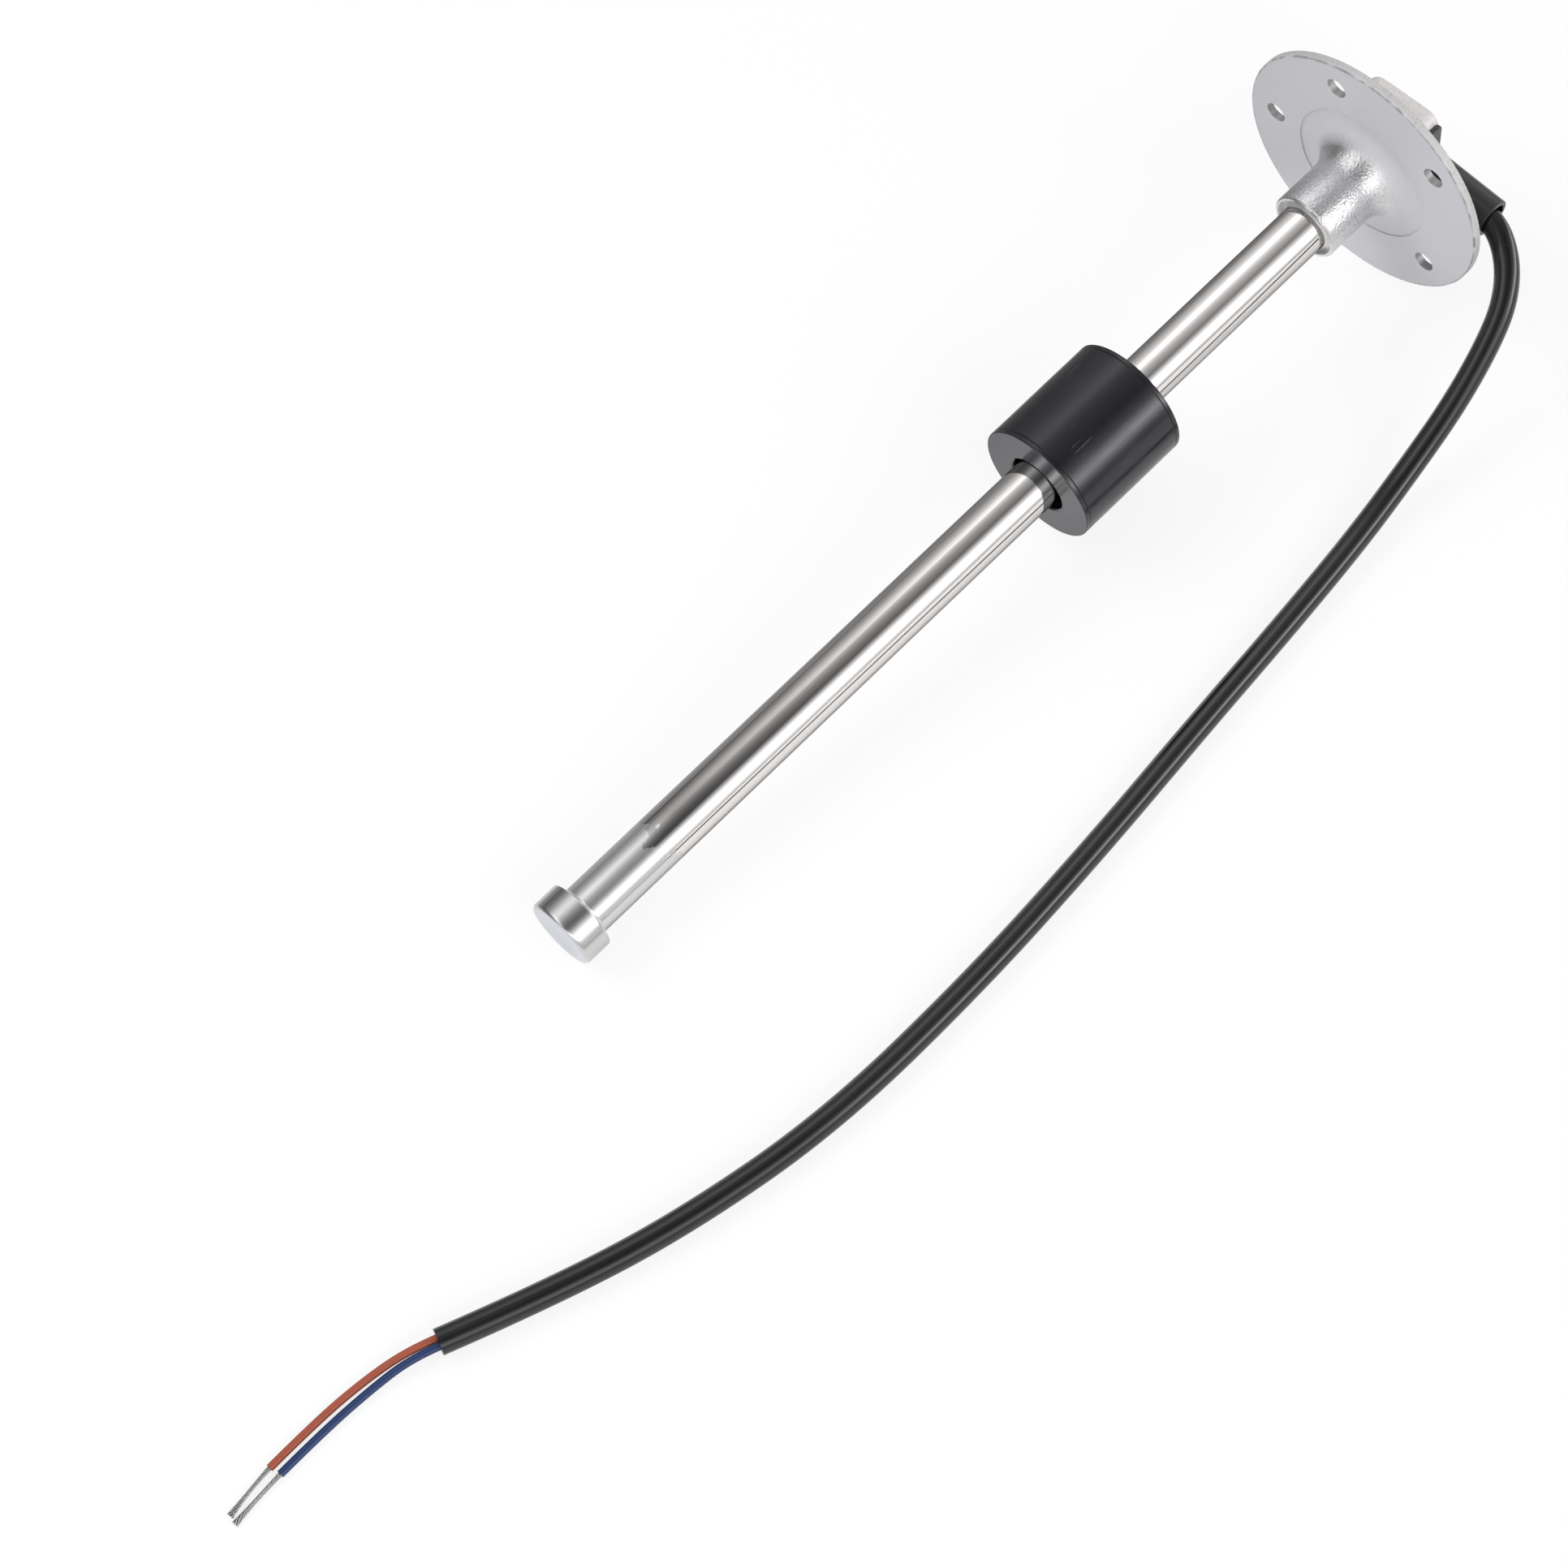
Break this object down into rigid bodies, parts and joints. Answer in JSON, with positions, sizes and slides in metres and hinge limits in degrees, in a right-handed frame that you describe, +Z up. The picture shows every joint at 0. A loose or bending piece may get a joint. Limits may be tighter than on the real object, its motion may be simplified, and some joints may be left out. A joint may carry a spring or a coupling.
{
  "type": "fuel sending unit",
  "caption": "Reed-switch fuel sending unit: flange with boss and cable block, polished stem, sliding float, end cap and cut two-core cable.",
  "frame": {"origin": "on the floor, under the middle of the unit without its cable", "axes": "+X from the end cap to the flange along the floor, +Y away from the cable side, +Z up"},
  "size_m": [0.4265, 0.1104, 0.0698],
  "materials": {
    "cast_metal": "fine sandblasted casting",
    "polished_steel": "polished tube",
    "turned_steel": "satin turned",
    "weld_metal": "dull weld bead",
    "float_rubber": "dense closed-cell rubber, satin",
    "magnet": "sintered ferrite ring",
    "board": "green board",
    "reed_glass": "clear glass",
    "wire_metal": "tinned copper",
    "chip_black": "ceramic chip",
    "blue_insulation": "satin insulation",
    "brown_insulation": "satin insulation",
    "resin": "cast resin",
    "black_rubber": "moulded rubber",
    "cable_black": "smooth glossy jacket"
  },
  "bodies": {
    "sender": {"flange_casting": "cast_metal", "stem_tube": "polished_steel", "stem_weld": "weld_metal", "end_cap": "turned_steel", "cap_weld": "weld_metal", "circuit_board": "board", "board_spacers": "black_rubber", "reed_capsules": "reed_glass", "reed_leads": "wire_metal", "chip_resistors": "chip_black", "blue_lead": "blue_insulation", "brown_lead": "brown_insulation", "potting_plug": "resin", "cable_boot": "black_rubber", "cable_jacket": "cable_black", "blue_core": "blue_insulation", "brown_core": "brown_insulation", "blue_strands": "wire_metal", "brown_strands": "wire_metal"},
    "float": {"float_body": "float_rubber", "magnet_ring": "magnet"}
  },
  "joints": [
    {"name": "float_slide", "type": "slide", "parent": "sender", "child": "float", "axis": [-0.9953, 0, -0.0964], "range_m": [-0.0615, 0.1472]}
  ]
}
